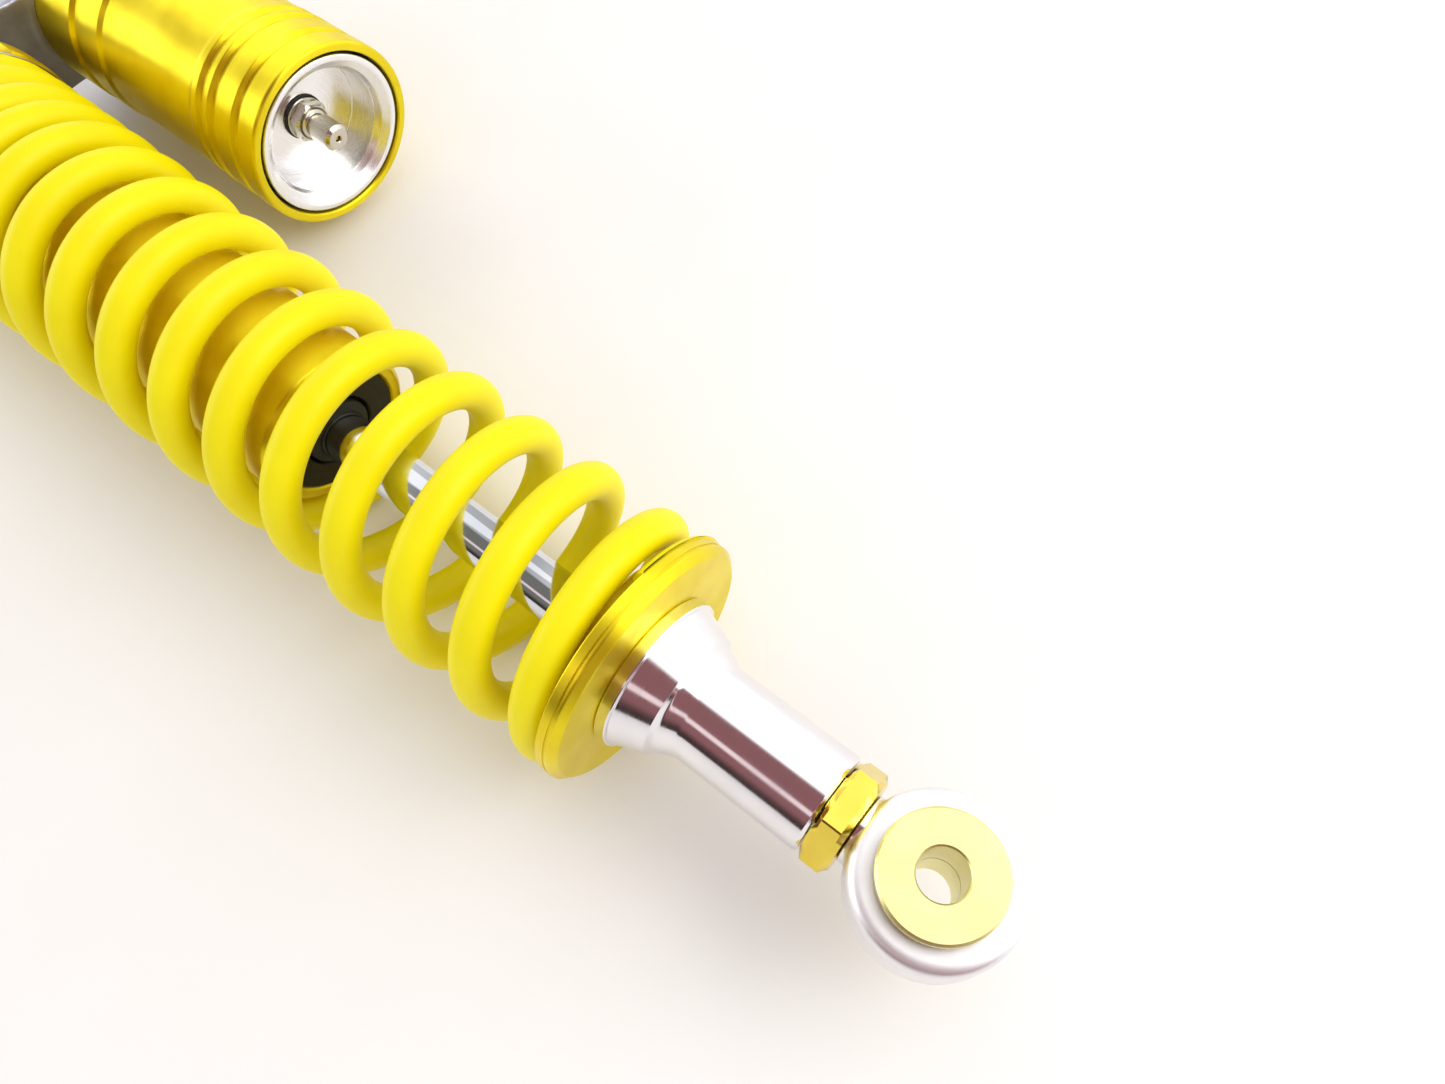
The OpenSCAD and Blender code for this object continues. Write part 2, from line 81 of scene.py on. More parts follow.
RES_Y = middle("reservoir_canister", 1)
RESERVOIR = (0, RES_Y, 0)
SHOCK = (0, 0, 0)
LOWER_X = middle("lower_spacer_front", 0)
LOWER_EYE = (LOWER_X, 0, 0)
BODY_R = radius("damper_body")
ROD_R = radius("piston_rod")
SPRING_TOP, SPRING_END = low("main_spring"), high("main_spring")

# The eyes
BOLT_R = 5.0
SLEEVE_R = BOLT_R + 3
FLANGE_R = radius("lower_spacer_front", 1)
FLANGE_T = 2.3
EYE_R = radius("lower_eye", 1)
EYE_EDGE = 2.8  # rounding of the ring's edges
BUSH_R = radius("lower_rubber_bush", 1)
RING_HALF = radius("lower_eye", 2)
EYE_HALF = high("lower_spacer_front", 2)
NECK_R = 7.6
BLEND_R = 1.1  # rounding between the neck and the ring
STUD_R = 6.85
STUD_PITCH = 1.5

# The head end
HEAD_FACE = 38.0
SOCKET_R = BODY_R + 0.02
BODY_BORE_R = 16.0
THREAD_X0, THREAD_X1, THREAD_PITCH = HEAD_FACE - 2, 79.0, 1.5
SLOTS = 8
SLOT_WIDTH = 5

# The main spring
WIRE = 8.5
TIP_ANGLE = math.radians(75)
GRIND = 2.3  # ground off each end
TURNS = 15.2
CLOSED_PITCH = WIRE + 0.9
OPEN_PITCH, TIGHT_PITCH = 18.85, 10.3
PITCHES = ((0, CLOSED_PITCH), (0.75, CLOSED_PITCH), (1.3, OPEN_PITCH), (8.6, OPEN_PITCH),
    (12.3, TIGHT_PITCH), (14.1, TIGHT_PITCH), (14.3, CLOSED_PITCH), (20, CLOSED_PITCH))

# The rod end
ROD_END_R = 4.0
SEAT_BORE_R = 11.6
PILOT_R = 21.0
TUBE_R = 11.2
NUT_AF = high("jam_nut", 2) - low("jam_nut", 2)
NUT_BORE_R = 6.95

# The reservoir
CAN_R = radius("reservoir_canister")
CAN_IN = 21.0
CAP_R = CAN_IN + 1.8
VALVE_R = 3.85
VALVE_HOLE_R = 4.1

FLOOR_DROP = 0.0306


# ---------------------------------------------------------------- materials


def linear(hexcode):
    """An sRGB hex colour as linear RGBA."""
    parts = [int(hexcode[i : i + 2], 16) / 255 for i in (1, 3, 5)]
    return (*[c / 12.92 if c <= 0.04045 else ((c + 0.055) / 1.055) ** 2.4 for c in parts], 1)


def add(tree, kind, inputs=None, **settings):
    """Adds a node, sets its properties, and fills or links its inputs by name or number."""
    node = tree.nodes.new(kind)
    for key, value in settings.items():
        setattr(node, key, value)
    for key, value in (inputs or {}).items():
        if isinstance(value, bpy.types.NodeSocket):
            tree.links.new(value, node.inputs[key])
        else:
            node.inputs[key].default_value = value
    return node


def new_material(name, hexcode, metallic, roughness, **shader):
    """A material with one Principled shader. shader sets its other sockets, such as Coat_Weight."""
    made = bpy.data.materials.new(name)
    made.use_nodes = True
    tree = made.node_tree
    tree.nodes.clear()
    sockets = {key.replace("_", " "): value for key, value in shader.items()}
    surface = add(tree, "ShaderNodeBsdfPrincipled", {
        "Base Color": linear(hexcode), "Metallic": metallic, "Roughness": roughness, **sockets})
    add(tree, "ShaderNodeOutputMaterial", {"Surface": surface.outputs["BSDF"]})
    return made, tree, surface


def object_mm(tree):
    """Object coordinates in millimetres."""
    place = add(tree, "ShaderNodeTexCoord").outputs["Object"]
    return add(tree, "ShaderNodeVectorMath", {0: place, 3: 1 / MM}, operation="SCALE").outputs[0]


def turned_place(tree, axis, centre_mm):
    """(along the axis, radius, 0) in millimetres, so that a pattern on it runs round the axis."""
    place = add(tree, "ShaderNodeVectorMath", {0: object_mm(tree), 1: centre_mm}, operation="SUBTRACT")
    across = (0, 1, 1) if axis == "X" else (1, 1, 0)
    flat = add(tree, "ShaderNodeVectorMath", {0: place.outputs[0], 1: across}, operation="MULTIPLY")
    radial = add(tree, "ShaderNodeVectorMath", {0: flat.outputs[0]}, operation="LENGTH")
    split = add(tree, "ShaderNodeSeparateXYZ", {0: place.outputs[0]})
    joined = add(tree, "ShaderNodeCombineXYZ", {"X": split.outputs[axis], "Y": radial.outputs["Value"]})
    return joined.outputs[0]


def noise(tree, place, size_mm, detail=2.0):
    """Noise whose features are size_mm across, from 0 to 1."""
    return add(tree, "ShaderNodeTexNoise",
        {"Vector": place, "Scale": 1 / size_mm, "Detail": detail}).outputs["Fac"]


def spread(tree, value, low_out, high_out):
    """Maps noise, nearly all of which lies between 0.3 and 0.7, to a range."""
    return add(tree, "ShaderNodeMapRange", {"Value": value, "From Min": 0.3, "From Max": 0.7,
        "To Min": low_out, "To Max": high_out}).outputs["Result"]


def raise_surface(tree, surface, heights):
    """Adds bumps to a shader. heights lists (value from 0 to 1, height in millimetres)."""
    normal = None
    for value, height_mm in heights:
        inputs = {"Height": value, "Distance": height_mm * MM, "Strength": 1.0}
        if normal:
            inputs["Normal"] = normal
        normal = add(tree, "ShaderNodeBump", inputs).outputs["Normal"]
    tree.links.new(normal, surface.inputs["Normal"])


def blend(tree, value, first, second):
    """A colour that runs from first to second as value goes from 0 to 1."""
    return add(tree, "ShaderNodeMix", {"Factor": value, "A": first, "B": second},
        data_type="RGBA").outputs["Result"]


def tint(tree, surface, value, first, second):
    """Base colour that runs from one hex colour to another as value goes from 0 to 1."""
    tree.links.new(blend(tree, value, linear(first), linear(second)), surface.inputs["Base Color"])


def turned_metal(name, colours, roughness, marks_mm, centre_mm, axis="X", depth_mm=0.0012, **shader):
    """Metal cut on a lathe: fine marks round the axis that stretch its reflections, and faint
    smudges of handling that change the gloss."""
    made, tree, surface = new_material(name, colours[0], 1.0, roughness, **shader)
    marks = noise(tree, turned_place(tree, axis, centre_mm), marks_mm, 3.0)
    smudge = noise(tree, object_mm(tree), 9.0, 4.0)
    tint(tree, surface, spread(tree, smudge, 0, 1), colours[0], colours[1])
    dull = add(tree, "ShaderNodeMath", {0: spread(tree, marks, -0.03, 0.04),
        1: spread(tree, smudge, roughness - 0.02, roughness + 0.05)}, operation="ADD")
    tree.links.new(dull.outputs[0], surface.inputs["Roughness"])
    raise_surface(tree, surface, [(marks, depth_mm)])
    grain = add(tree, "ShaderNodeTangent", direction_type="RADIAL", axis=axis).outputs["Tangent"]
    tree.links.new(grain, surface.inputs["Tangent"])
    surface.inputs["Anisotropic Rotation"].default_value = 0.25
    return made


def gold_anodised(name, centre_mm):
    """Turned aluminium, bright gold anodised: deep yellow metal whose highlights draw out along the
    axis, across the lathe marks, and stay narrow round it."""
    return turned_metal(name, ("#F0DD2C", "#E9D222"), 0.36, 0.5, centre_mm, Anisotropic=0.8)


def gold_plated(name, centre_mm, axis):
    """Steel, gold passivated zinc: pale straw yellow with a satin sheen."""
    return turned_metal(name, ("#F1EAA8", "#EAE29A"), 0.34, 0.35, centre_mm, axis, 0.0015)


def polished_aluminium(name, centre_mm):
    """Buffed aluminium: a mirror with the last hairlines of the lathe left in it."""
    return turned_metal(name, ("#F1F0F1", "#E9E8EA"), 0.1, 0.4, centre_mm, "X", 0.0005)


def hard_chrome():
    """Ground and chromed rod: the sharpest reflections, faint lines of the grinding wheel."""
    return turned_metal("hard_chrome", ("#DFE1E6", "#D8DBE1"), 0.05, 0.25, SHOCK, "X", 0.0002)


def yellow_powder_coat():
    """Powder coat on spring wire: saturated yellow gloss over a slight orange-peel swell, with
    fine dust specks that give the highlight a grain."""
    made, tree, surface = new_material("yellow_powder_coat", "#F6E606", 0.0, 0.42,
        Specular_IOR_Level=0.22)
    place = object_mm(tree)
    peel = noise(tree, place, 1.6, 1.0)
    specks = noise(tree, place, 0.25, 2.0)
    tint(tree, surface, spread(tree, noise(tree, place, 14.0, 3.0), 0, 1), "#F6E805", "#F0E003")
    tree.links.new(spread(tree, specks, 0.38, 0.48), surface.inputs["Roughness"])
    raise_surface(tree, surface, [(peel, 0.02), (specks, 0.002)])
    return made


def cast_metal():
    """Aluminium casting, shot blasted and lacquered grey: a fine pebbled skin with a soft sheen."""
    made, tree, surface = new_material("cast_head", "#9C9CA2", 0.9, 0.38, Coat_Weight=0.3,
        Coat_Roughness=0.25)
    place = object_mm(tree)
    pebbles = noise(tree, place, 0.7, 3.0)
    tint(tree, surface, spread(tree, noise(tree, place, 6.0, 4.0), 0, 1), "#A2A2A8", "#8E8E95")
    tree.links.new(spread(tree, pebbles, 0.32, 0.46), surface.inputs["Roughness"])
    raise_surface(tree, surface, [(pebbles, 0.03)])
    return made


def moulded_rubber():
    """Nitrile rubber: near black, dull, with the faint grain of the mould and a dusty bloom."""
    made, tree, surface = new_material("black_rubber", "#131313", 0.0, 0.62,
        Specular_IOR_Level=0.4)
    place = object_mm(tree)
    tint(tree, surface, spread(tree, noise(tree, place, 3.0, 4.0), 0, 1), "#101010", "#1E1D1C")
    raise_surface(tree, surface, [(noise(tree, place, 0.3, 2.0), 0.006)])
    return made


def dark_metal(name, hexcode, roughness, centre_mm=SHOCK):
    """Blackened or black anodised metal, with lathe marks that catch the light."""
    made, tree, surface = new_material(name, hexcode, 0.4, roughness, Coat_Weight=0.15,
        Coat_Roughness=0.3)
    marks = noise(tree, turned_place(tree, "X", centre_mm), 0.4, 2.0)
    tree.links.new(spread(tree, marks, roughness - 0.06, roughness + 0.08), surface.inputs["Roughness"])
    raise_surface(tree, surface, [(marks, 0.0015)])
    return made


def guide_band():
    """Filled PTFE band: waxy brown, matt."""
    made, tree, surface = new_material("guide_band", "#6B5B45", 0.0, 0.55)
    tint(tree, surface, noise(tree, object_mm(tree), 1.2, 3.0), "#6F5F48", "#5C4D39")
    return made


MATERIALS = {
    "gold_body": gold_anodised("gold_anodised_body", SHOCK),
    "gold_can": gold_anodised("gold_anodised_reservoir", RESERVOIR),
    "gold_nut": turned_metal("gold_plated_nut", ("#EDD65C", "#E5CA4C"), 0.16, 0.35, SHOCK),
    "gold_upper": gold_plated("gold_plated_upper_spacer", SHOCK, "Z"),
    "gold_lower": gold_plated("gold_plated_lower_spacer", LOWER_EYE, "Z"),
    "powder": yellow_powder_coat(),
    "polished": polished_aluminium("polished_extension", SHOCK),
    "polished_eye": turned_metal("satin_aluminium_eye", ("#F3F2F3", "#ECEBED"), 0.44, 0.4, LOWER_EYE,
        "Z"),
    "polished_cap": turned_metal("satin_aluminium_cap", ("#F3F2F2", "#ECEBEB"), 0.24, 0.4, RESERVOIR),
    "chrome": hard_chrome(),
    "cast": cast_metal(),
    "rubber": moulded_rubber(),
    "black_part": dark_metal("black_anodised", "#100D0C", 0.5),
    "black_wire": dark_metal("black_spring_steel", "#0A0A0A", 0.38, RESERVOIR),
    "zinc": turned_metal("bright_zinc_steel", ("#C9CCD1", "#BEC1C8"), 0.3, 0.5, SHOCK),
    "copper": turned_metal("annealed_copper", ("#D08A62", "#C47B55"), 0.35, 0.5, SHOCK),
    "spring_steel": turned_metal("ground_spring_steel", ("#A9ACB2", "#9FA2A8"), 0.3, 0.3, SHOCK),
    "bronze": turned_metal("sintered_bronze", ("#B48A50", "#A67C45"), 0.45, 0.3, SHOCK),
    "bare_eye": turned_metal("turned_eye", ("#D9DADC", "#D0D1D4"), 0.22, 0.4, SHOCK, "Z"),
    "bare": turned_metal("turned_aluminium", ("#D9DADC", "#D0D1D4"), 0.25, 0.4, SHOCK),
    "band": guide_band(),
    "nickel": turned_metal("nickel_plated_brass", ("#D3CFC2", "#C9C4B4"), 0.2, 0.3, RESERVOIR),
    "brass": turned_metal("turned_brass", ("#D9B45C", "#CCA54E"), 0.25, 0.3, RESERVOIR),
}


# ---------------------------------------------------------------- making meshes

ROUND_STEPS = 192
NUT_STEPS = 240
THREAD_ROWS = 8  # outline points to each turn of a thread
FULL_TURN = 2 * math.pi


def soften(corners, closed):
    """Rounds an outline of (along, radius, rounding) corners, in millimetres, with a short curve at
    each. Returns (along, radius, normal along, normal out) for every point."""
    count = len(corners)
    points = []
    for i, (a, r, rounding) in enumerate(corners):
        here = Vector((a, r))
        if not closed and i == 0:
            points.append((here, (Vector(corners[1][:2]) - here).normalized()))
            continue
        if not closed and i == count - 1:
            points.append((here, (here - Vector(corners[-2][:2])).normalized()))
            continue
        back = Vector(corners[i - 1][:2]) - here
        on = Vector(corners[(i + 1) % count][:2]) - here
        half = max(back.angle(on) / 2, 0.05)
        reach = min(rounding / math.tan(half), back.length * 0.49, on.length * 0.49)
        steps = 3 if rounding < 0.5 else 6 if rounding < 2 else 12
        go_in, go_out = -back.normalized(), on.normalized()
        for k in range(steps + 1):
            t = k / steps
            place = (here - go_in * reach) * (1 - t) ** 2 + here * 2 * t * (1 - t)
            place += (here + go_out * reach) * t**2
            points.append((place, (go_in * (1 - t) + go_out * t).normalized()))
    return [(p.x, p.y, -d.y, d.x) for p, d in points]


def new_object(name, mesh, *materials):
    made = bpy.data.objects.new(name, mesh)
    bpy.context.collection.objects.link(made)
    for material in materials:
        mesh.materials.append(MATERIALS[material])
    return made


def to_axis(point, axis):
    """Turns a point made about X so that it lies about another axis."""
    x, y, z = point
    if axis == "Z":
        return (y, z, x)
    if axis == "Y":
        return (z, x, y)
    return (x, y, z)


def revolve(name, corners, material, axis="X", centre=SHOCK, closed=True, turns=None, shape=None):
    """A shape turned on a lathe. Corners run from low to high along the axis on the outside, and
    back along the bore. An open outline starts and ends on the axis. shape, if there is one, moves
    each point: it takes and gives (along, radius) at a turn, and makes threads, flats and slots."""
    outline = soften(corners, closed)
    if turns is None:
        turns = [FULL_TURN * k / ROUND_STEPS for k in range(ROUND_STEPS)]
    steps = len(turns)
    verts, normals, rings = [], [], []
    for along, r, n_along, n_out in outline:
        if r < 1e-6:
            rings.append([len(verts)])
            verts.append((along, 0, 0))
            normals.append((1 if n_along > 0 else -1, 0, 0))
            continue
        rings.append(list(range(len(verts), len(verts) + steps)))
        for turn in turns:
            a, out = shape(along, r, turn) if shape else (along, r)
            verts.append((a, out * math.cos(turn), out * math.sin(turn)))
            normals.append((n_along, n_out * math.cos(turn), n_out * math.sin(turn)))
    faces = []
    following = rings[1:] + rings[:1] if closed else rings[1:]
    for one, two in zip(rings, following):
        for k in range(steps):
            n = (k + 1) % steps
            loop = [one[k % len(one)], one[n % len(one)], two[n % len(two)], two[k % len(two)]]
            faces.append(list(dict.fromkeys(loop)))
    mesh = bpy.data.meshes.new(name)
    mesh.from_pydata([(Vector(to_axis(v, axis)) + Vector(centre)) * MM for v in verts], [], faces)
    mesh.shade_smooth()
    if shape:
        mesh.set_sharp_from_angle(angle=math.radians(34))
    else:
        mesh.normals_split_custom_set_from_vertices([to_axis(n, axis) for n in normals])
    return new_object(name, mesh, material)


def hand_over(piece, body, slot_name, *nodes):
    """The piece rides on its body and stands for its CAD nodes. slot_name is not used."""
    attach(piece, body)
    if nodes:
        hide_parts(*nodes)
    return piece


def bevel(piece, width_mm, segments=2, angle=30):
    """Breaks the piece's sharp edges."""
    edge = piece.modifiers.new("softened edges", "BEVEL")
    edge.width = width_mm * MM
    edge.segments = segments
    edge.limit_method = "ANGLE"
    edge.angle_limit = math.radians(angle)
    edge.harden_normals = True
    return piece


def bake_modifiers(piece):
    """Makes the piece's evaluated shape its mesh, and takes its modifiers off."""
    bpy.context.view_layer.update()
    seen = piece.evaluated_get(bpy.context.evaluated_depsgraph_get())
    mesh = bpy.data.meshes.new_from_object(seen)
    piece.modifiers.clear()
    piece.data = mesh
    return piece


def join(name, pieces):
    """Several meshes as one object. Materials that they share are kept once."""
    made = bmesh.new()
    materials = []
    for piece in pieces:
        start = len(made.faces)
        made.from_mesh(piece.data)
        made.faces.ensure_lookup_table()
        for face in made.faces[start:]:
            material = piece.data.materials[face.material_index]
            if material not in materials:
                materials.append(material)
            face.material_index = materials.index(material)
    mesh = bpy.data.meshes.new(name)
    made.to_mesh(mesh)
    made.free()
    for piece in pieces:
        bpy.data.objects.remove(piece)
    for material in materials:
        mesh.materials.append(material)
    joined = bpy.data.objects.new(name, mesh)
    bpy.context.collection.objects.link(joined)
    return joined


def threaded(x0, x1, pitch, depth, r_low):
    """A screw thread between x0 and x1, on whatever is turned there above r_low."""

    def shape(along, r, turn):
        if not x0 < along < x1 or r < r_low:
            return along, r
        phase = ((along - x0) / pitch - turn / FULL_TURN) % 1
        groove = min(1, max(0, 1.5 - abs(phase - 0.5) * 4.2))
        fade = min(1, (along - x0) / pitch, (x1 - along) / pitch)
        return along, r - depth * groove * fade

    return shape


def thread_rows(x0, x1, pitch, r):
    """Outline corners close enough together to carry a thread."""
    count = round((x1 - x0) / pitch * THREAD_ROWS)
    return [(x0 + (x1 - x0) * i / count, r, 0.0) for i in range(count + 1)]


def hexagonal(af, x0, x1, chamfer_r, lead):
    """Flats on a turned blank: across flats af, with a 30 degree chamfer at both ends. lead turns
    the flats round the axis."""
    slope = math.tan(math.radians(30))
    sixth = math.pi / 3

    def shape(along, r, turn):
        flat_r = af / 2 / math.cos((turn - lead + sixth / 2) % sixth - sixth / 2)
        if r <= chamfer_r + 0.01:
            return along, r
        out = min(r, flat_r)
        drop = max(0, out - chamfer_r) * slope
        return max(x0 + drop, min(x1 - drop, along)), out

    return shape


def slotted(count, r_slot, width, r_out):
    """Slots for a hook spanner, cut across a ring down to r_slot."""
    half = width / 2 / r_out
    step = FULL_TURN / count

    def shape(along, r, turn):
        away = (turn - math.pi / 2 + step / 2) % step - step / 2
        return along, min(r, r_slot) if abs(away) < half else r

    return shape


def slot_turns(count, width, r_out):
    """Turns that put an edge on both sides of each slot's walls."""
    half = width / 2 / r_out
    gap = FULL_TURN / count - 2 * half
    hair, in_slot, in_land = 0.0006, 6, 14
    turns = []
    for i in range(count):
        mid = math.pi / 2 + FULL_TURN * i / count
        turns += [mid - half - hair, mid - half + hair]
        turns += [mid - half + 2 * half * k / in_slot for k in range(1, in_slot)]
        turns += [mid + half - hair, mid + half + hair]
        turns += [mid + half + gap * k / in_land for k in range(1, in_land)]
    return turns


def with_wire(name, points_mm, wire_mm, material, sides):
    """Round wire along a path, made with Geometry Nodes and turned into a plain mesh."""
    curve = bpy.data.curves.new(name + "_path", "CURVE")
    curve.dimensions = "3D"
    line = curve.splines.new("POLY")
    line.points.add(len(points_mm) - 1)
    for spot, place in zip(line.points, points_mm):
        spot.co = (*(Vector(place) * MM), 1)
    path = bpy.data.objects.new(name + "_path", curve)
    bpy.context.collection.objects.link(path)
    tree = bpy.data.node_groups.new(name + "_wire", "GeometryNodeTree")
    face = tree.interface
    face.new_socket("Path", in_out="INPUT", socket_type="NodeSocketGeometry")
    thick = face.new_socket("Wire radius", in_out="INPUT", socket_type="NodeSocketFloat")
    round_count = face.new_socket("Sides of the wire", in_out="INPUT", socket_type="NodeSocketInt")
    face.new_socket("Wire", in_out="OUTPUT", socket_type="NodeSocketGeometry")
    entry = add(tree, "NodeGroupInput")
    profile = add(tree, "GeometryNodeCurvePrimitiveCircle", {
        "Radius": entry.outputs["Wire radius"], "Resolution": entry.outputs["Sides of the wire"]})
    tube = add(tree, "GeometryNodeCurveToMesh", {"Curve": entry.outputs["Path"],
        "Profile Curve": profile.outputs["Curve"], "Fill Caps": True})
    real = add(tree, "GeometryNodeRealizeInstances", {"Geometry": tube.outputs["Mesh"]})
    finish = add(tree, "GeometryNodeSetMaterial", {"Geometry": real.outputs["Geometry"],
        "Material": MATERIALS[material]})
    add(tree, "NodeGroupOutput", {"Wire": finish.outputs["Geometry"]})
    winder = path.modifiers.new("wire", "NODES")
    winder.node_group = tree
    winder[thick.identifier] = wire_mm / 2 * MM
    winder[round_count.identifier] = sides
    bpy.context.view_layer.update()
    seen = path.evaluated_get(bpy.context.evaluated_depsgraph_get())
    mesh = bpy.data.meshes.new_from_object(seen)
    bpy.data.objects.remove(path)
    mesh.name = name
    mesh.shade_smooth()
    made = bpy.data.objects.new(name, mesh)
    bpy.context.collection.objects.link(made)
    return made


# ---------------------------------------------------------------- eyes and their spacers


def spacer(name, material, centre, side):
    """Top-hat spacer: a sleeve in the rubber and a flange outside it, with the bolt's bore."""
    top = EYE_HALF
    corners = [(0.02, SLEEVE_R, 0.15), (top - FLANGE_T, SLEEVE_R, 0.2), (top - FLANGE_T, FLANGE_R, 0.2),
        (top - 0.5, FLANGE_R, 0.15), (top, FLANGE_R - 0.5, 0.15), (top, BOLT_R + 0.35, 0.1),
        (top - 0.35, BOLT_R, 0.1), (0.25, BOLT_R, 0.1), (0.02, BOLT_R + 0.2, 0.05)]
    if side < 0:
        corners = [(-a, r, s) for a, r, s in reversed(corners)]
    return revolve(name, corners, material, "Z", centre)


def rubber_bush(name, centre, half):
    corners = [(-half, SLEEVE_R + 0.05, 0.1), (-half + 0.6, SLEEVE_R + 1.2, 0.8),
        (-half + 0.6, BUSH_R - 1.0, 0.8), (-half, BUSH_R, 0.2), (half, BUSH_R, 0.2),
        (half - 0.6, BUSH_R - 1.0, 0.8), (half - 0.6, SLEEVE_R + 1.2, 0.8), (half, SLEEVE_R + 0.05, 0.1)]
    return revolve(name, corners, "rubber", "Z", centre)


def eye_ring(name, material, centre, bore_r, half):
    """The ring of an eye, its edges rolled over and polished."""
    corners = [(-half, bore_r + 0.4, 0.2), (-half, EYE_R, EYE_EDGE), (half, EYE_R, EYE_EDGE),
        (half, bore_r + 0.4, 0.2), (half - 0.4, bore_r, 0.1), (-half + 0.4, bore_r, 0.1)]
    return revolve(name, corners, material, "Z", centre)


for which, centre, body in (("upper", SHOCK, "upper_spacers"), ("lower", LOWER_EYE, "lower_spacers")):
    for place, side in (("front", 1), ("rear", -1)):
        node = f"{which}_spacer_{place}"
        piece = spacer(f"{which}_{place}_top_hat_spacer", f"gold_{which}", centre, side)
        hand_over(piece, body, "gold_plated", node)
    holder = "head_and_damper" if which == "upper" else "rod_assembly"
    piece = rubber_bush(f"{which}_bonded_bush", centre, high(f"{which}_rubber_bush", 2))
    hand_over(piece, holder, "black_rubber", f"{which}_rubber_bush")

# The lower eye: a ring, a round neck with a rolled blend into it, and a stud up the extension
nut_x0, nut_x1 = low("jam_nut"), high("jam_nut")
stud_x0 = low("lower_eye")
neck_end = LOWER_X - 12
stud = revolve("stud", [(stud_x0, 0, 0), (stud_x0, 6.2, 0.1), (stud_x0 + 0.7, STUD_R, 0.1)]
    + thread_rows(stud_x0 + 1, nut_x1 - 0.4, STUD_PITCH, STUD_R) + [(nut_x1 + 0.05, STUD_R, 0.05),
    (nut_x1 + 0.05, NECK_R - 0.4, 0.1), (nut_x1 + 0.45, NECK_R, 0.1), (neck_end, NECK_R, 0.1),
    (neck_end, 0, 0)], "polished", closed=False,
    shape=threaded(stud_x0 + 1, nut_x1 - 0.2, STUD_PITCH, 0.75, STUD_R - 0.1))


def blend_strip():
    """A rolled fillet between the round neck and the ring: a ball of radius BLEND_R that touches
    both leaves this surface behind it."""
    verts, faces, normals = [], [], []
    count, arc = 144, 8
    for k in range(count):
        turn = FULL_TURN * k / count
        out = Vector((0, math.cos(turn), math.sin(turn)))
        ball = out * (NECK_R + BLEND_R)
        above = max(0, abs(ball.z) - RING_HALF + EYE_EDGE)
        around = EYE_R - EYE_EDGE + math.sqrt((EYE_EDGE + BLEND_R) ** 2 - above**2)
        ball.x = -math.sqrt(around**2 - ball.y**2)
        on_neck = -out
        core = Vector((ball.x, ball.y, 0)) * ((EYE_R - EYE_EDGE) / around)
        core.z = math.copysign(abs(ball.z) - above, ball.z)
        on_ring = (core - ball).normalized()
        for i in range(arc + 1):
            lean = (on_neck * (1 - i / arc) + on_ring * (i / arc)).normalized()
            verts.append((ball + lean * BLEND_R + Vector(LOWER_EYE)) * MM)
            normals.append(-lean)
    for k in range(count):
        for i in range(arc):
            a, b = k * (arc + 1) + i, (k + 1) % count * (arc + 1) + i
            faces.append((a, b, b + 1, a + 1))
    mesh = bpy.data.meshes.new("blend")
    mesh.from_pydata(verts, [], faces)
    mesh.shade_smooth()
    mesh.normals_split_custom_set_from_vertices(normals)
    return new_object("blend", mesh, "polished_eye")


ring = eye_ring("ring", "polished_eye", LOWER_EYE, BUSH_R, RING_HALF)
LOWER_PARTS = [ring, stud, blend_strip()]
hand_over(join("lower_eye_end", LOWER_PARTS), "rod_assembly", "polished_aluminium", "lower_eye")


# ---------------------------------------------------------------- head end


def cast_head():
    """The casting: its CAD shape with every edge run soft, as sand or a die leaves it, then the
    machined eye and the bored face laid over it."""
    source = bpy.data.objects["head_casting"]
    skin = bpy.data.objects.new("casting_skin", source.data.copy())
    bpy.context.collection.objects.link(skin)
    merged = bmesh.new()
    merged.from_mesh(skin.data)
    bmesh.ops.remove_doubles(merged, verts=merged.verts, dist=1e-6)
    merged.to_mesh(skin.data)
    merged.free()
    grown = skin.modifiers.new("even skin", "REMESH")
    grown.mode = "VOXEL"
    grown.voxel_size = 0.62 * MM
    grown.use_smooth_shade = True
    soft = skin.modifiers.new("run edges", "SMOOTH")
    soft.factor = 0.6
    soft.iterations = 14
    shrink = skin.modifiers.new("under the machining", "DISPLACE")
    shrink.strength = -0.06 * MM
    shrink.mid_level = 0
    bake_modifiers(skin)
    skin.data.materials.clear()
    skin.data.materials.append(MATERIALS["cast"])
    ring = eye_ring("ring", "bare_eye", SHOCK, BUSH_R, high("upper_rubber_bush", 2) + 0.5)
    face = revolve("face", [(HEAD_FACE - 2.2, 26.2, 0.3), (HEAD_FACE - 0.7, 27, 0.3),
        (HEAD_FACE, 26.2, 0.3), (HEAD_FACE, SOCKET_R + 0.8, 0.1), (HEAD_FACE - 0.8, SOCKET_R, 0.1),
        (HEAD_FACE - 4, SOCKET_R, 0.1)], "bare")
    return join("cast_head", [skin, ring, face])


hand_over(cast_head(), "head_and_damper", "cast_head", "head_casting")

# Damper tube, with a real thread for the two preload rings
body_x0, body_x1 = low("damper_body"), high("damper_body")
tube = revolve("damper_tube", [(body_x0, BODY_BORE_R, 0.1), (body_x0, BODY_R - 1, 0.2),
    (body_x0 + 1, BODY_R, 0.2)] + thread_rows(THREAD_X0, THREAD_X1, THREAD_PITCH, BODY_R)
    + [(body_x1 - 1.4, BODY_R, 0.8), (body_x1, BODY_R - 1.4, 0.8), (body_x1, BODY_BORE_R + 0.6, 0.2),
    (body_x1 - 0.6, BODY_BORE_R, 0.2)], "gold_body",
    shape=threaded(THREAD_X0, THREAD_X1, THREAD_PITCH, 0.62, BODY_R - 0.01))
hand_over(tube, "head_and_damper", "gold_anodised", "damper_body")


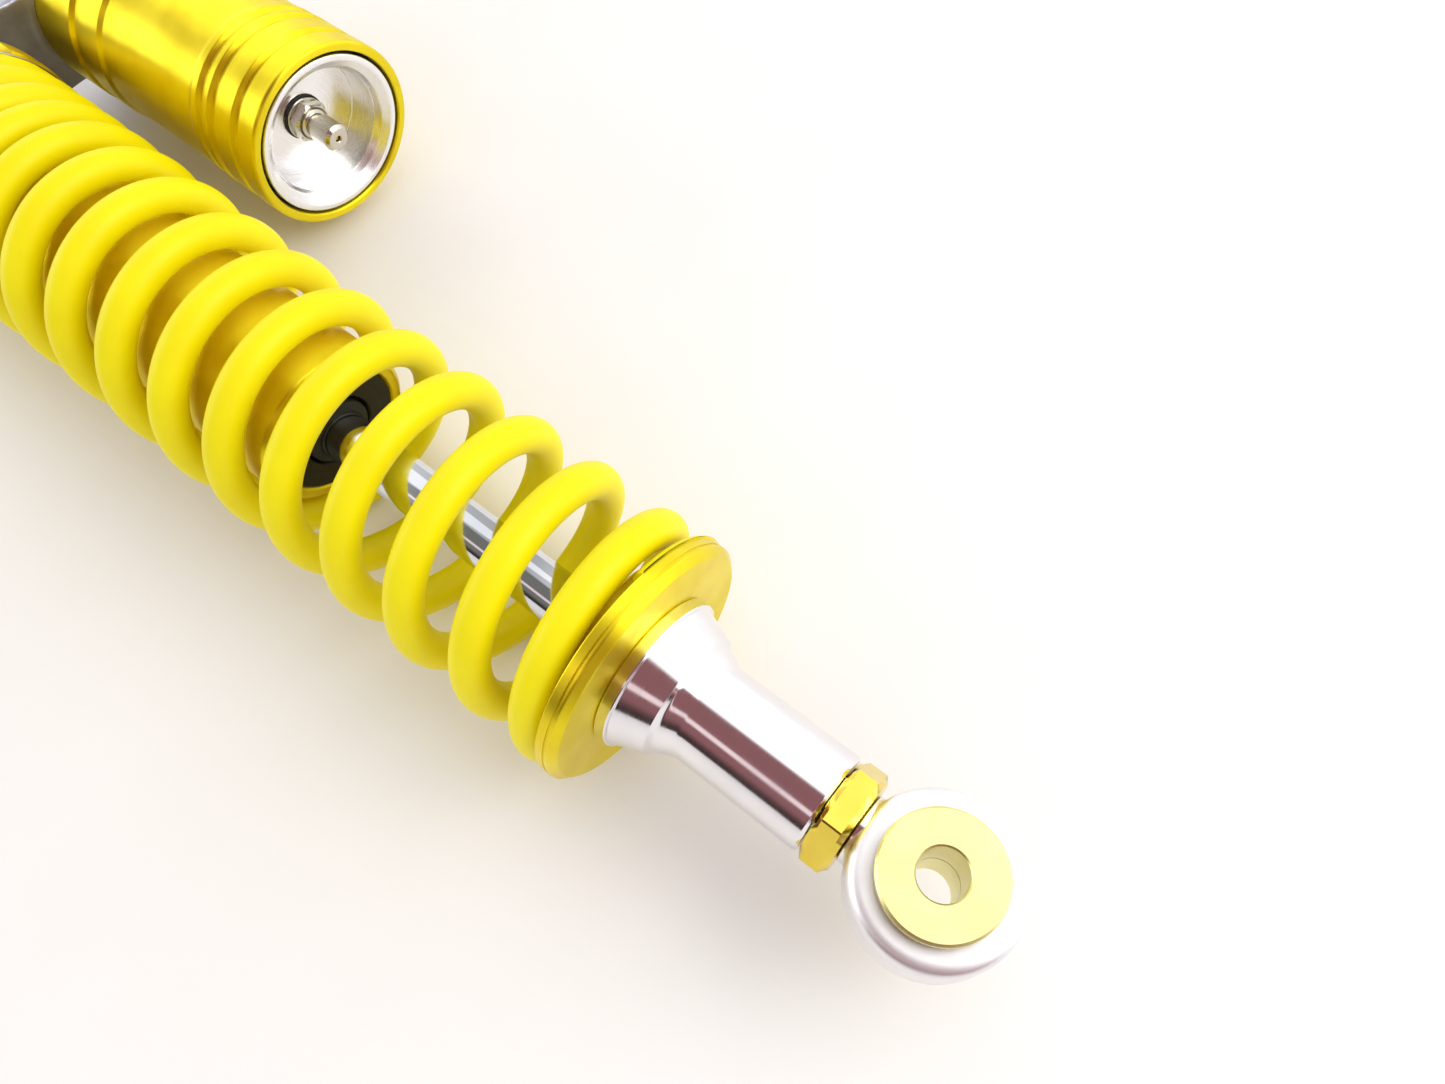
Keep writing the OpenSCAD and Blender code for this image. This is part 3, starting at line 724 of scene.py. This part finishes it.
def hook_ring(name, node, body):
    """Preload or lock ring: slots for a hook spanner, edges broken all round."""
    x0, x1, r = low(node), high(node), radius(node)
    bore = BODY_R + 0.05
    corners = [(x0, bore + 0.5, 0.1), (x0, r - 0.8, 0.05), (x0 + 0.8, r, 0.05), (x1 - 0.8, r, 0.05),
        (x1, r - 0.8, 0.05), (x1, bore + 0.5, 0.1), (x1 - 0.5, bore, 0.1), (x0 + 0.5, bore, 0.1)]
    made = revolve(name, corners, "gold_body", turns=slot_turns(SLOTS, SLOT_WIDTH, r),
        shape=slotted(SLOTS, r - 2.5, SLOT_WIDTH, r))
    hand_over(bake_modifiers(bevel(made, 0.2)), body, "gold_anodised", node)


hook_ring("preload_lock_ring", "lock_ring", "preload_lock")
hook_ring("preload_adjuster_ring", "preload_ring", "preload_adjuster")

washer_x0, washer_x1, washer_r = low("spring_washer"), high("spring_washer"), radius("spring_washer")
washer = revolve("thrust_washer", [(washer_x0, BODY_R + 0.35, 0.1), (washer_x0, washer_r, 0.3),
    (washer_x1, washer_r, 0.3), (washer_x1, BODY_R + 0.35, 0.1)], "zinc")
hand_over(washer, "head_and_damper", "zinc_steel", "spring_washer")

# ---------------------------------------------------------------- coil spring


def pitch_at(turn):
    """Rise for each turn of the wire, counted from the lower end."""
    for (t0, p0), (t1, p1) in zip(PITCHES, PITCHES[1:]):
        if turn <= t1:
            return p0 + (p1 - p0) * (turn - t0) / (t1 - t0)
    return CLOSED_PITCH


def coil_spring():
    """Open coils at the lower end, tight ones at the upper, both ends closed and ground flat."""
    mid_r = radius("main_spring") - WIRE / 2
    per_turn = 96
    points, rise = [], -GRIND
    for i in range(round(TURNS * per_turn) + 1):
        turn = i / per_turn
        angle = TIP_ANGLE - turn * FULL_TURN
        points.append((SPRING_END - rise, mid_r * math.cos(angle), mid_r * math.sin(angle)))
        rise += pitch_at(turn + 0.5 / per_turn) / per_turn
    made = with_wire("coil_spring", points, WIRE, "powder", sides=56)
    for vert in made.data.vertices:
        vert.co.x = min(max(vert.co.x, SPRING_TOP * MM), SPRING_END * MM)
    return made


spring = coil_spring()
hand_over(spring, "head_and_damper", "yellow_powder_coat", "main_spring")
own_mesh(spring)

# ---------------------------------------------------------------- damper's open end and the rod

cover_x0, cover_x1 = low("dust_cover"), high("dust_cover")
cover = revolve("end_cover", [(cover_x0, ROD_R + 2.8, 0.1), (cover_x0, BODY_BORE_R - 0.03, 0.1),
    (cover_x1 - 0.5, BODY_BORE_R - 0.03, 0.1), (cover_x1, BODY_BORE_R - 0.6, 0.3),
    (cover_x1, ROD_R + 3.4, 0.3), (cover_x1 - 0.8, ROD_R + 2.8, 0.2)], "black_part")
hand_over(cover, "head_and_damper", "black_anodised", "dust_cover")

wiper_x0, wiper_x1 = low("dust_wiper"), high("dust_wiper")
wiper = revolve("rod_wiper", [(wiper_x0, ROD_R + 0.05, 0.1), (wiper_x0, ROD_R + 4.4, 0.2),
    (wiper_x0 + 2.5, ROD_R + 4.4, 0.2), (wiper_x0 + 2.5, ROD_R + 2.6, 0.2),
    (wiper_x1 - 0.8, ROD_R + 2.2, 0.5), (wiper_x1, ROD_R + 0.5, 0.2), (wiper_x1, ROD_R + 0.05, 0.05)],
    "rubber")
hand_over(wiper, "head_and_damper", "black_rubber", "dust_wiper")

rod_x0, rod_x1 = low("piston_rod"), high("piston_rod")
shoulder_x = high("piston") + 2.3
rod = revolve("damper_rod", [(rod_x0, 0, 0), (rod_x0, ROD_END_R - 0.6, 0.1), (rod_x0 + 0.6, ROD_END_R, 0.1),
    (shoulder_x, ROD_END_R, 0.3), (shoulder_x, ROD_R, 0.3), (rod_x1 - 1, ROD_R, 0.1),
    (rod_x1, ROD_R - 1, 0.1), (rod_x1, 0, 0)], "chrome", closed=False)
hand_over(rod, "rod_assembly", "hard_chrome", "piston_rod")

# ---------------------------------------------------------------- seat, extension and jam nut

seat_x0, seat_x1 = low("lower_spring_seat"), high("lower_spring_seat")
seat_r = radius("lower_spring_seat")
seat_face = SPRING_END + 0.02
line_x0, line_x1, line_r = seat_x1 - 2.75, seat_x1 - 2.25, seat_r - 0.3  # the turned line on its rim
seat = revolve("gold_spring_seat", [(seat_x0, SEAT_BORE_R, 0.2), (seat_x0, PILOT_R - 1.1, 0.4),
    (seat_x0 + 1, PILOT_R, 0.4), (seat_face, PILOT_R, 0.4), (seat_face, seat_r, 0.35),
    (line_x0, seat_r, 0.06), (line_x0, line_r, 0.1), (line_x1, line_r, 0.1), (line_x1, seat_r, 0.06),
    (seat_x1 - 1.6, seat_r, 0.8), (seat_x1, seat_r - 1.7, 0.8), (seat_x1, SEAT_BORE_R, 0.2)], "gold_body")
hand_over(seat, "rod_assembly", "gold_anodised", "lower_spring_seat")

ext_x0, ext_x1 = low("rod_extension"), high("rod_extension")
spigot_r, lip_r = 11.5, radius("rod_extension")
lip_x = seat_x1 + 0.4
lip_back = lip_x - 0.38
collar_x, collar_r = lip_x + 2.7, lip_r - 0.8
collar_end = collar_x + 7.4
bore_end, bore_r = ext_x1 - 26, 6.9  # the blind hole that the stud screws into
extension = revolve("rod_extension_tube", [(ext_x0, 0, 0), (ext_x0, spigot_r - 0.5, 0.2),
    (ext_x0 + 0.5, spigot_r, 0.2), (lip_back, spigot_r, 0.05), (lip_back, lip_r - 0.4, 0.1),
    (lip_x, lip_r, 0.3), (collar_x, lip_r, 0.5), (collar_x + 0.1, collar_r, 0.2),
    (collar_end, collar_r - 2.7, 0.15), (collar_end + 1.0, TUBE_R + 1.9, 1.8),
    (collar_end + 5.0, TUBE_R, 3.0), (ext_x1 - 0.7, TUBE_R, 0.25), (ext_x1, TUBE_R - 0.7, 0.25),
    (ext_x1, bore_r + 0.3, 0.2), (ext_x1 - 1, bore_r, 0.1), (bore_end, bore_r, 0.1), (bore_end, 0, 0)],
    "polished", closed=False)
hand_over(extension, "rod_assembly", "polished_aluminium", "rod_extension")


def hex_nut(name, x0, x1, af, bore, material, centre, chamfer, lead=0):
    """A hexagon nut: both faces turned, so each corner is cut back in a curve. lead turns it."""
    corner_r = af / 2 / math.cos(math.pi / 6)
    chamfer_r = af / 2 - chamfer
    rise = (corner_r - chamfer_r) * math.tan(math.radians(30))
    corners = [(x0, bore + 0.5, 0.05), (x0, chamfer_r, 0.02), (x0 + rise, corner_r, 0.02),
        (x1 - rise, corner_r, 0.02), (x1, chamfer_r, 0.02), (x1, bore + 0.5, 0.05),
        (x1 - 0.5, bore, 0.05), (x0 + 0.5, bore, 0.05)]
    turns = [FULL_TURN * k / NUT_STEPS for k in range(NUT_STEPS)]
    made = revolve(name, corners, material, centre=centre, turns=turns,
        shape=hexagonal(af, x0, x1, chamfer_r, lead))
    return bake_modifiers(bevel(made, 0.14, 2, 24))


nut = hex_nut("gold_jam_nut", nut_x0, nut_x1, NUT_AF, NUT_BORE_R, "gold_nut", SHOCK, 0.3,
    math.radians(26))
hand_over(nut, "rod_assembly", "gold_plated", "jam_nut")

# ---------------------------------------------------------------- gas reservoir

can_x0, can_x1 = low("reservoir_canister"), high("reservoir_canister")
flange_x = can_x1 - 10.5


def canister_outline():
    """The canister's grooves and lands, from the head to the open end, then back along the bore."""
    x0, x1 = can_x0, can_x1
    stem_r, land_r, groove_r = CAN_R - 1, CAN_R - 0.3, CAN_R - 1.6
    rim_r, step_r, clip_r = CAN_R - 0.1, CAN_R - 0.5, CAP_R + 0.8
    outside = [(x0, CAN_IN, 0.2), (x0, CAN_R, 0.7), (x0 + 16, CAN_R, 0.5), (x0 + 17, stem_r, 0.5),
        (x0 + 19, stem_r, 0.5), (x0 + 20, land_r, 0.5), (x0 + 28, land_r, 0.6), (x0 + 29.5, stem_r, 0.6),
        (x1 - 27, stem_r, 0.6), (x1 - 25.6, step_r, 0.5), (x1 - 23.8, step_r, 0.4)]
    grooves = ((23, 21.4, 19, land_r), (18.2, 16.6, 14.2, land_r), (8.8, 7.2, None, rim_r))
    for start, stop, land_end, r in grooves:
        outside += [(x1 - start, groove_r, 0.4), (x1 - stop, groove_r, 0.4), (x1 - stop + 0.8, r, 0.4)]
        if land_end:
            outside.append((x1 - land_end, r, 0.4))
    outside.insert(-3, (x1 - 9.6, land_r, 0.4))
    inside = [(x1, rim_r, 1.1), (x1, CAP_R + 0.3, 0.3), (x1 - 0.5, CAP_R, 0.3),
        (x1 - 2.5, CAP_R, 0.05), (x1 - 2.5, clip_r, 0.1), (x1 - 4.2, clip_r, 0.1),
        (x1 - 4.2, CAP_R, 0.05), (flange_x, CAP_R, 0.1), (flange_x, CAN_IN, 0.1)]
    return outside + inside


hand_over(revolve("reservoir_can", canister_outline(), "gold_can", centre=RESERVOIR),
    "head_and_damper", "gold_anodised", "reservoir_canister")

cap_x0 = low("reservoir_end_cap")
dish_x = can_x1 - 12.5  # the bottom of the dish
lip = can_x1 - 0.3
cap = revolve("dished_end_cap", [(cap_x0, VALVE_HOLE_R, 0.1), (cap_x0, CAN_IN - 0.9, 0.1),
    (cap_x0 + 0.8, CAN_IN - 0.05, 0.1), (flange_x + 0.1, CAN_IN - 0.05, 0.1),
    (flange_x + 0.1, CAP_R - 0.1, 0.1), (can_x1 - 4.4, CAP_R - 0.1, 0.1),
    (can_x1 - 4.4, CAP_R - 0.8, 0.1), (lip, CAP_R - 0.8, 0.6), (lip, CAP_R - 2.3, 1.3),
    (lip - 1.7, CAP_R - 4.7, 1.9), (lip - 3.2, CAP_R - 5.6, 0.12), (lip - 3.4, CAP_R - 5.8, 0.12),
    (dish_x + 0.1, 16.7, 0.3), (dish_x, VALVE_HOLE_R, 0.1)], "polished_cap", centre=RESERVOIR)
hand_over(cap, "head_and_damper", "polished_aluminium", "reservoir_end_cap")


def cap_clip(gap=3, count=160):
    """The cap's circlip: round wire in its groove, with a gap at the bottom."""
    x0 = low("end_cap_circlip")
    wire = high("end_cap_circlip") - x0
    mid_r = radius("end_cap_circlip") - 0.02 - wire / 2
    half = gap / 2 / mid_r
    turns = [-math.pi / 2 + half + (FULL_TURN - 2 * half) * k / count for k in range(count + 1)]
    points = [(x0 + wire / 2, mid_r * math.cos(t) + RES_Y, mid_r * math.sin(t)) for t in turns]
    return with_wire("cap_circlip", points, wire, "black_wire", sides=20)


hand_over(cap_clip(), "head_and_damper", "black_spring_steel", "end_cap_circlip")

# Gas valve: smooth barrel, round flange and hexagon, seal ring and core pin
valve_x0, valve_x1 = low("gas_valve_body"), high("gas_valve_body")
barrel_x = dish_x + 7
thread_r, waist_r, mouth_r = 4.05, 3.2, 0.8
barrel = revolve("valve_barrel", [(valve_x0, mouth_r, 0.05), (valve_x0, 3.4, 0.1),
    (valve_x0 + 0.6, thread_r, 0.1), (dish_x + 4.8, thread_r, 0.2), (dish_x + 5.2, waist_r, 0.2),
    (barrel_x, waist_r, 0.2), (barrel_x + 0.5, VALVE_R, 0.15), (valve_x1 - 0.9, VALVE_R, 0.5),
    (valve_x1, 2.9, 0.4), (valve_x1, mouth_r + 0.2, 0.15), (valve_x1 - 0.25, mouth_r, 0.05)], "nickel",
    centre=RESERVOIR)
hand_over(barrel, "head_and_damper", "nickel_brass", "gas_valve_body")

hex_x0, hex_x1 = low("gas_valve_nut"), high("gas_valve_nut")
hex_face, flange_r = dish_x + 1.3, 5.75
valve_hex = hex_nut("hexagon", hex_face, hex_x1, 10, VALVE_HOLE_R, "nickel", RESERVOIR, 0.1)
flange = revolve("flange", [(hex_x0, VALVE_HOLE_R, 0.05), (hex_x0, flange_r, 0.15),
    (hex_face + 0.1, flange_r, 0.15), (hex_face + 0.1, VALVE_HOLE_R, 0.05)], "nickel", centre=RESERVOIR)
hand_over(join("valve_hexagon", [valve_hex, flange]), "head_and_damper", "nickel_brass", "gas_valve_nut")

seal_x0, seal_x1 = low("valve_seal_ring"), high("valve_seal_ring")
seal_in, seal_out = VALVE_HOLE_R + 0.02, 6.2
valve_seal = revolve("valve_washer", [(seal_x0, seal_in, 0.1), (seal_x0, seal_out, 0.4),
    (seal_x1, seal_out, 0.4), (seal_x1, seal_in, 0.1)], "rubber", centre=RESERVOIR)
hand_over(valve_seal, "head_and_damper", "black_rubber", "valve_seal_ring")

# ---------------------------------------------------------------- CAD parts that keep their shape

KEPT = {
    "passage_plug": "zinc", "plug_washer": "copper", "body_o_ring": "rubber", "seal_head": "black_part",
    "rod_guide_bush": "bronze", "oil_seal": "rubber", "seal_head_o_ring": "rubber",
    "seal_head_circlip": "black_wire", "top_out_bumper": "rubber", "reservoir_o_ring": "rubber",
    "end_cap_o_ring": "rubber", "valve_pin": "brass", "valve_spring": "spring_steel",
    "floating_piston": "bare", "floating_piston_o_ring": "rubber", "floating_piston_band": "band",
    "piston": "bare", "piston_band": "band", "compression_shims": "spring_steel",
    "rebound_shims": "spring_steel", "backing_washer": "zinc", "piston_nut": "zinc",
}
for node, material in KEPT.items():
    part = bpy.data.objects[node]
    part.data.materials.clear()
    part.data.materials.append(MATERIALS[material])

# ---------------------------------------------------------------- floor, light and camera


def floor():
    """A pale matt table top, its faint mottle too soft to draw the eye."""
    made, tree, surface = new_material("matt_laminate_table", "#F2EEED", 0.0, 0.55)
    mottle = noise(tree, object_mm(tree), 60.0, 3.0)
    tint(tree, surface, spread(tree, mottle, 0, 1), "#F3EFEE", "#F0ECEA")
    raise_surface(tree, surface, [(noise(tree, object_mm(tree), 0.8, 2.0), 0.01)])
    mesh = bpy.data.meshes.new("table_top")
    half = 3.0
    corners = [(x * half, y * half, -FLOOR_DROP) for x, y in ((-1, -1), (1, -1), (1, 1), (-1, 1))]
    mesh.from_pydata(corners, [], [(0, 1, 2, 3)])
    table = bpy.data.objects.new("table_top", mesh)
    bpy.context.collection.objects.link(table)
    mesh.materials.append(made)


floor()


def aim(thing, target, heading=Vector((0, 0, 1))):
    """Points a lamp or camera at target, with its top edge towards heading."""
    ahead = (Vector(target) - thing.location).normalized()
    side = ahead.cross(heading).normalized()
    top = side.cross(ahead)
    turn = Matrix((side, top, -ahead)).transposed()
    thing.rotation_euler = turn.to_euler()


def softbox(name, place, target, size, watts):
    """A white rectangular lamp at place, turned to target."""
    lamp = bpy.data.lights.new(name, "AREA")
    lamp.shape = "RECTANGLE"
    lamp.size, lamp.size_y = size
    lamp.energy = watts
    holder = bpy.data.objects.new(name, lamp)
    bpy.context.collection.objects.link(holder)
    holder.location = place
    aim(holder, target)


CENTRE = Vector((0.2, 0.03, 0))
softbox("back_softbox", (-0.75, 0.45, 0.95), CENTRE, (1.2, 1.1), 2.2)
softbox("side_softbox", (1.25, 0.45, 0.8), CENTRE, (0.8, 0.9), 4)
softbox("near_softbox", (0.72, 0.42, 0.5), (0.45, 0.2, 0), (0.5, 0.5), 1.5)


def rise(tree, value, start, end, full=1.0):
    """0 where value is start, rising softly to full where it is end."""
    return add(tree, "ShaderNodeMapRange", {"Value": value, "From Min": start, "From Max": end,
        "To Max": full}, interpolation_type="SMOOTHSTEP").outputs["Result"]


def toward(tree, way, degrees, edge, full):
    """How near a direction lies to one angle round the shock, counted from +Y over the top: 0 past
    edge degrees away, 1 within full degrees."""
    aim_at = (0, math.cos(math.radians(degrees)), math.sin(math.radians(degrees)))
    near = add(tree, "ShaderNodeVectorMath", {0: way, 1: aim_at}, operation="DOT_PRODUCT")
    return rise(tree, near.outputs["Value"], math.cos(math.radians(edge)), math.cos(math.radians(full)))


def product(tree, first, second):
    return add(tree, "ShaderNodeMath", {0: first, 1: second}, operation="MULTIPLY").outputs[0]


# Brightness of the white wall, from the head's end (0) to the lower eye's (1)
WALL_LEVELS = ((0.0, 1.35), (0.17, 1.35), (0.24, 0.6), (0.29, 0.4), (0.35, 1.3), (1.0, 1.3))
CURTAIN_SEEN, CURTAIN_LIT = 1.0, 0.25  # how much of it shows in gloss, and darkens matt surfaces
ROOM_LIT, ROOM_SEEN = 0.76, 1.15  # the room's strength on matt surfaces, and in gloss


def studio():
    """A white room on the reservoir's side and a dark curtain over the other side, with one thin
    slit of light in it and a bright window past its head end."""
    world = bpy.data.worlds.new("studio")
    bpy.context.scene.world = world
    world.use_nodes = True
    tree = world.node_tree
    way = add(tree, "ShaderNodeTexCoord").outputs["Generated"]
    along = add(tree, "ShaderNodeSeparateXYZ", {0: way}).outputs["X"]
    flat = add(tree, "ShaderNodeVectorMath", {0: way, 1: (0, 1, 1)}, operation="MULTIPLY")
    flat = add(tree, "ShaderNodeVectorMath", {0: flat.outputs[0]}, operation="NORMALIZE").outputs[0]

    wall = add(tree, "ShaderNodeValToRGB", {"Fac": add(tree, "ShaderNodeMapRange", {"Value": along,
        "From Min": -1.0, "From Max": 1.0}).outputs["Result"]})
    ramp = wall.color_ramp
    ramp.elements.remove(ramp.elements[1])
    first = WALL_LEVELS[0][1]
    ramp.elements[0].color = (first, first, first, 1)
    for place, level in WALL_LEVELS[1:]:
        ramp.elements.new(place).color = (level, level, level, 1)

    # The cloth: grey towards the head, mauve towards the lower eye, a dark hem, and the slit
    near = add(tree, "ShaderNodeMapRange", {"Value": along, "From Min": -0.38, "From Max": -0.25})
    cloth = blend(tree, near.outputs["Result"], linear("#75756E"), linear("#86595C"))
    cloth = blend(tree, toward(tree, flat, 188, 32, 8), cloth, linear("#352827"))
    cloth = blend(tree, toward(tree, flat, 139, 6.5, 1.5), cloth, linear("#F0D8DA"))

    # Polished metal sees the whole curtain; matt surfaces see little of it, so shadows stay pale
    mirror = add(tree, "ShaderNodeLightPath").outputs["Is Glossy Ray"]
    seen = add(tree, "ShaderNodeMapRange", {"Value": mirror, "To Min": CURTAIN_LIT,
        "To Max": CURTAIN_SEEN}).outputs["Result"]
    curtain = product(tree, toward(tree, flat, 146, 58, 50), rise(tree, along, -0.6, -0.48))
    colour = blend(tree, product(tree, curtain, seen), wall.outputs["Color"], cloth)
    room = add(tree, "ShaderNodeMapRange", {"Value": mirror, "To Min": ROOM_LIT,
        "To Max": ROOM_SEEN}).outputs["Result"]
    window = product(tree, toward(tree, flat, 150, 26, 10), rise(tree, along, -0.45, -0.62, 1.3))
    strength = add(tree, "ShaderNodeMath", {0: window, 1: room}, operation="ADD").outputs[0]
    tree.links.new(strength, tree.nodes["Background"].inputs["Strength"])
    tree.links.new(colour, tree.nodes["Background"].inputs["Color"])


studio()
bpy.context.scene.view_settings.view_transform = "Standard"

lens = bpy.data.cameras.new("camera")
lens.sensor_width = 36.0
lens.lens = 27.06
lens.clip_start = 0.01
camera = bpy.data.objects.new("camera", lens)
bpy.context.collection.objects.link(camera)
camera.location = (0.3532, -0.0466, 0.2143)
aim(camera, (0.2833, 0.0322, 0), Vector((-0.6216, 0.7833, 0)))
bpy.context.scene.camera = camera
